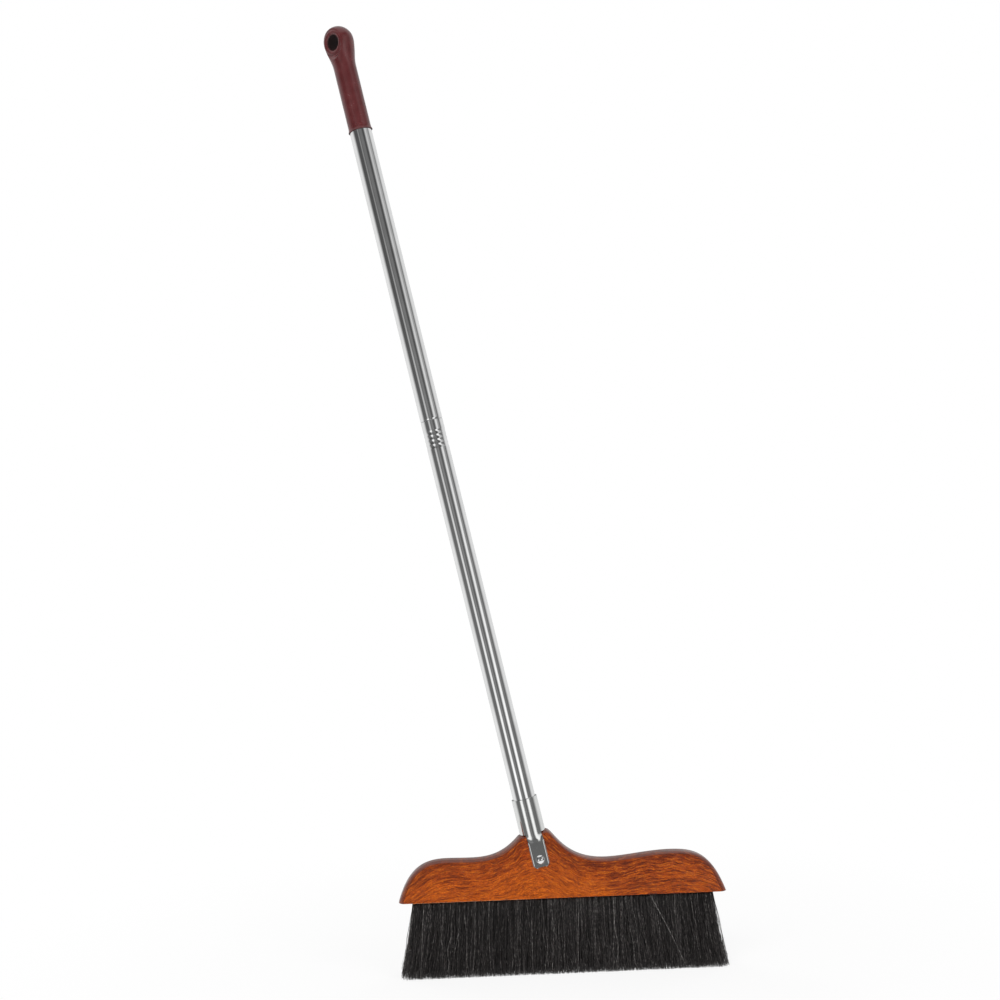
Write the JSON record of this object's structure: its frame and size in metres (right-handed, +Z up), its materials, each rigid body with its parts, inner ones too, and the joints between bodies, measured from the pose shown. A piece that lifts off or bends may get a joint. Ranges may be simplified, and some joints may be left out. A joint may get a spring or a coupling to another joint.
{
  "type": "soft bristle broom",
  "caption": "Upright push broom: soft black bristles in a humped lacquered wooden head, a riveted strap socket and a screwed metal tube handle with a plastic hanging grip.",
  "frame": {"origin": "middle of the sweeping face, the flat where the bristle tips meet the floor", "axes": "+Z up from the floor; +X along the head, away from the side that the handle leans to; +Y away from a person who faces the front"},
  "size_m": [0.3768, 0.0358, 0.9419],
  "materials": {
    "lacquered_wood": "glossy reddish orange lacquer over wavy grain",
    "black_bristle": "fine soft black filament",
    "bright_plate": "bright plated sheet steel",
    "rivet_steel": "polished domed steel",
    "tube_steel": "bright plated steel tube",
    "insert_plastic": "moulded black plastic",
    "grip_plastic": "smooth dark wine-red plastic with a soft sheen"
  },
  "bodies": {
    "head_and_lower_handle": {"head_block": "lacquered_wood", "bristle_row_1": "black_bristle", "bristle_row_2": "black_bristle", "bristle_row_3": "black_bristle", "bristle_row_4": "black_bristle", "bristle_row_5": "black_bristle", "strap_socket": "bright_plate", "socket_rivet": "rivet_steel", "lower_tube": "tube_steel", "threaded_socket": "insert_plastic"},
    "thread_carrier": {"threaded_spigot": "insert_plastic"},
    "upper_handle": {"upper_tube": "tube_steel", "grip": "grip_plastic"}
  },
  "joints": [
    {"name": "handle_rise", "type": "slide", "parent": "head_and_lower_handle", "child": "thread_carrier", "axis": [-0.2122, 0, 0.9772], "range_m": [0, 0.02]},
    {"name": "handle_unscrew", "type": "hinge", "parent": "thread_carrier", "child": "upper_handle", "pos_m": [-0.0283, 0, 0.1339], "axis": [-0.2122, 0, 0.9772], "range_deg": [0, 1800]}
  ],
  "couplings": [
    {"joint": "handle_unscrew", "follows": "handle_rise", "rad_per_m": 1570.8}
  ]
}
